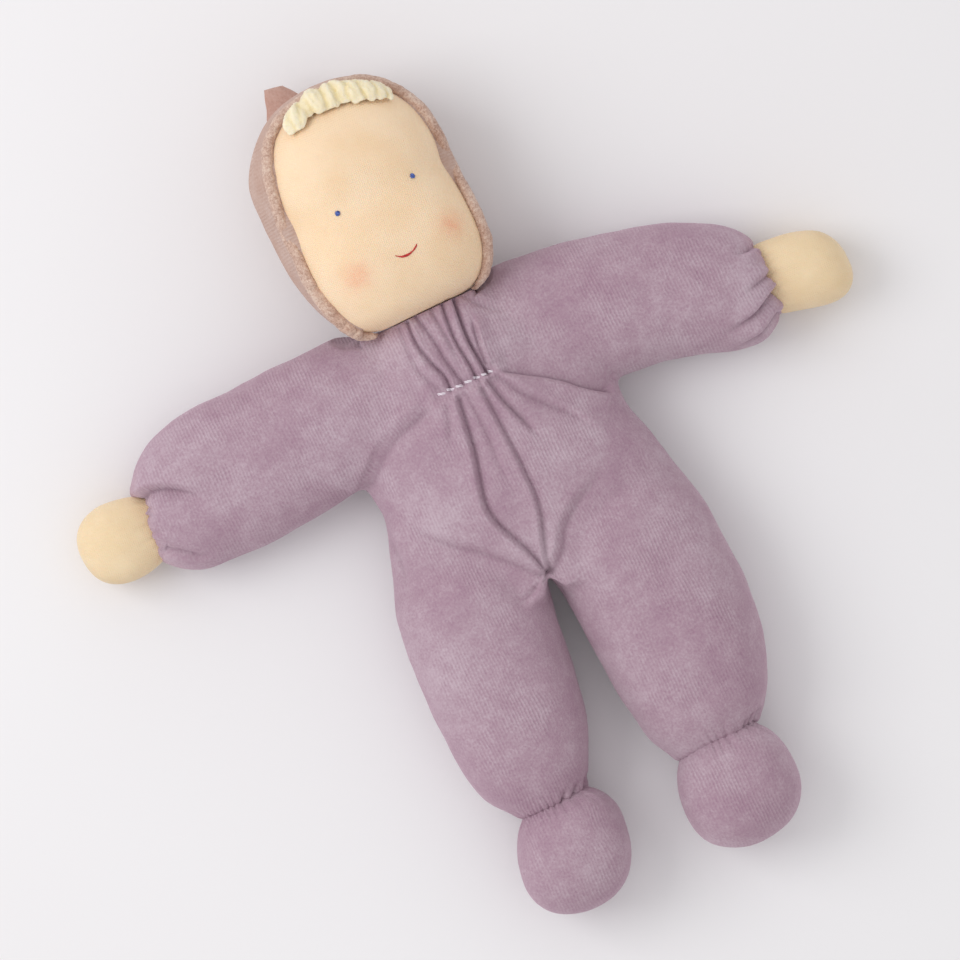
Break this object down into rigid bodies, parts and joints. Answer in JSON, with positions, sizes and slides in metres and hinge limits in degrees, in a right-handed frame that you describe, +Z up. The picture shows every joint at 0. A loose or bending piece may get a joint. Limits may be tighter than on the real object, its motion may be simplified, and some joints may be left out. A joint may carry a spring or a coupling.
{
  "type": "cloth doll",
  "caption": "Soft cloth baby doll in a velour romper and hood, wool stuffed, with its neck, shoulders, wrists, hips and ankles free to move. It lies on its back.",
  "frame": {"origin": "under the middle of the whole doll, on the surface that its back lies on", "axes": "+Y towards the crown, +X towards the doll's left hand, +Z up, out of its face and chest"},
  "size_m": [0.282, 0.3052, 0.0595],
  "materials": {
    "romper_velour": "soft mauve cotton velour",
    "hood_velour": "dusty pink velour, terry-like at the rolled hem",
    "jersey": "fine knitted cotton jersey",
    "wool_stuffing": "carded wool",
    "gauze": "tubular cotton gauze",
    "cotton_thread": "matt cotton thread",
    "blue_thread": "embroidery thread",
    "red_thread": "embroidery thread",
    "fringe_wool": "curled cream wool"
  },
  "bodies": {
    "torso": {"romper_torso": "romper_velour", "torso_stuffing": "wool_stuffing", "chest_stitch": "cotton_thread", "neck_gather_thread": "cotton_thread"},
    "neck": {"neck_core": "gauze", "neck_tie_thread": "cotton_thread"},
    "head": {"head_skin": "jersey", "head_gauze": "gauze", "head_wool": "wool_stuffing", "eye_line_thread": "cotton_thread", "eye_right": "blue_thread", "eye_left": "blue_thread", "mouth_stitch": "red_thread", "hood_hem": "hood_velour", "hood": "hood_velour", "hair_fringe": "fringe_wool"},
    "arm_right": {"sleeve_right": "romper_velour", "arm_stuffing_right": "wool_stuffing", "wrist_thread_right": "cotton_thread"},
    "hand_right": {"hand_skin_right": "jersey", "hand_wool_right": "wool_stuffing"},
    "arm_left": {"sleeve_left": "romper_velour", "arm_stuffing_left": "wool_stuffing", "wrist_thread_left": "cotton_thread"},
    "hand_left": {"hand_skin_left": "jersey", "hand_wool_left": "wool_stuffing"},
    "leg_right": {"leg_cover_right": "romper_velour", "leg_stuffing_right": "wool_stuffing", "ankle_thread_right": "cotton_thread"},
    "foot_right": {"foot_cover_right": "romper_velour", "foot_wool_right": "wool_stuffing"},
    "leg_left": {"leg_cover_left": "romper_velour", "leg_stuffing_left": "wool_stuffing", "ankle_thread_left": "cotton_thread"},
    "foot_left": {"foot_cover_left": "romper_velour", "foot_wool_left": "wool_stuffing"}
  },
  "joints": [
    {"name": "neck_nod", "type": "hinge", "parent": "torso", "child": "neck", "pos_m": [-0.0016, 0.06015, 0.041], "axis": [1, 0, 0], "range_deg": [-5, 35]},
    {"name": "head_turn", "type": "hinge", "parent": "neck", "child": "head", "pos_m": [-0.0016, 0.06015, 0.0285], "axis": [0, 1, 0], "range_deg": [-40, 40]},
    {"name": "shoulder_right", "type": "hinge", "parent": "torso", "child": "arm_right", "pos_m": [-0.0313, 0.03885, 0.036], "axis": [0.3961, 0.9182, 0], "range_deg": [-15, 90]},
    {"name": "wrist_right", "type": "hinge", "parent": "arm_right", "child": "hand_right", "pos_m": [-0.1153, 0.03435, 0.0247], "axis": [0, 1, 0], "range_deg": [-15, 45]},
    {"name": "shoulder_left", "type": "hinge", "parent": "torso", "child": "arm_left", "pos_m": [0.03995, 0.03835, 0.036], "axis": [0.4118, -0.9113, 0], "range_deg": [-15, 90]},
    {"name": "wrist_left", "type": "hinge", "parent": "arm_left", "child": "hand_left", "pos_m": [0.1137, 0.02232, 0.0247], "axis": [0, -1, 0], "range_deg": [-15, 45]},
    {"name": "hip_right", "type": "hinge", "parent": "torso", "child": "leg_right", "pos_m": [-0.0286, -0.03765, 0.042], "axis": [-1, 0, 0], "range_deg": [-15, 90]},
    {"name": "ankle_right", "type": "hinge", "parent": "leg_right", "child": "foot_right", "pos_m": [-0.0286, -0.11135, 0.03107], "axis": [-1, 0, 0], "range_deg": [-15, 45]},
    {"name": "hip_left", "type": "hinge", "parent": "torso", "child": "leg_left", "pos_m": [0.0304, -0.03765, 0.042], "axis": [-1, 0, 0], "range_deg": [-15, 90]},
    {"name": "ankle_left", "type": "hinge", "parent": "leg_left", "child": "foot_left", "pos_m": [0.0304, -0.11535, 0.03107], "axis": [-1, 0, 0], "range_deg": [-15, 45]}
  ]
}
